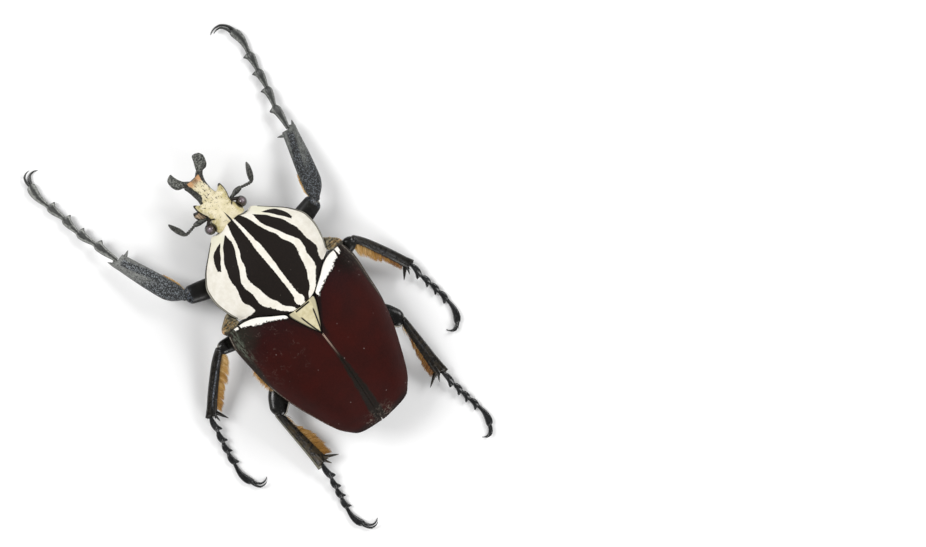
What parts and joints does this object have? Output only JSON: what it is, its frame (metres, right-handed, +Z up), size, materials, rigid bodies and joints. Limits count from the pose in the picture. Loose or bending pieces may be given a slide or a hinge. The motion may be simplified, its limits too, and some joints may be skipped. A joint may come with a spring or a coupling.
{
  "type": "goliath beetle",
  "caption": "Life-size goliath beetle with a forked horn, ivory shield with black bands and dark maroon wing covers, resting on its belly with its legs spread.",
  "frame": {"origin": "middle of the small flat under the breast, which rests on the floor", "axes": "the head points along -Y and the tail along +Y, the beetle's left side is +X, +Z is up out of its back"},
  "size_m": [0.0829, 0.1499, 0.0257],
  "materials": {
    "ivory_shield": "chalky ivory beetle shell with velvet brown-black bands",
    "cream_shield": "chalky cream beetle shell",
    "maroon_elytra": "velvety dark maroon beetle shell",
    "black_shell": "glossy black beetle shell",
    "grey_black_shell": "granular grey-black beetle shell, satin",
    "eye_brown": "glossy brown-grey eye",
    "tan_wedge": "dull brown shell with short tan hair"
  },
  "bodies": {
    "root": {"abdomen": "black_shell", "antenna_left": "grey_black_shell", "antenna_right": "grey_black_shell", "breast": "black_shell", "coxa_fore_left": "black_shell", "coxa_fore_right": "black_shell", "coxa_hind_left": "black_shell", "coxa_hind_right": "black_shell", "coxa_mid_left": "black_shell", "coxa_mid_right": "black_shell", "elytron_left": "maroon_elytra", "elytron_right": "maroon_elytra", "eye_left": "eye_brown", "eye_right": "eye_brown", "femur_fore_left": "black_shell", "femur_fore_right": "black_shell", "femur_hind_left": "black_shell", "femur_hind_right": "black_shell", "femur_mid_left": "black_shell", "femur_mid_right": "black_shell", "head": "cream_shield", "horn": "grey_black_shell", "mesepimeron_left": "tan_wedge", "mesepimeron_right": "tan_wedge", "mouthparts": "black_shell", "pronotum": "ivory_shield", "prosternum": "black_shell", "pygidium": "black_shell", "scutellum": "cream_shield", "tarsus_fore_left": "grey_black_shell", "tarsus_fore_right": "grey_black_shell", "tarsus_hind_left": "black_shell", "tarsus_hind_right": "black_shell", "tarsus_mid_left": "black_shell", "tarsus_mid_right": "black_shell", "tibia_fore_left": "grey_black_shell", "tibia_fore_right": "grey_black_shell", "tibia_hind_left": "black_shell", "tibia_hind_right": "black_shell", "tibia_mid_left": "black_shell", "tibia_mid_right": "black_shell"}
  },
  "joints": []
}
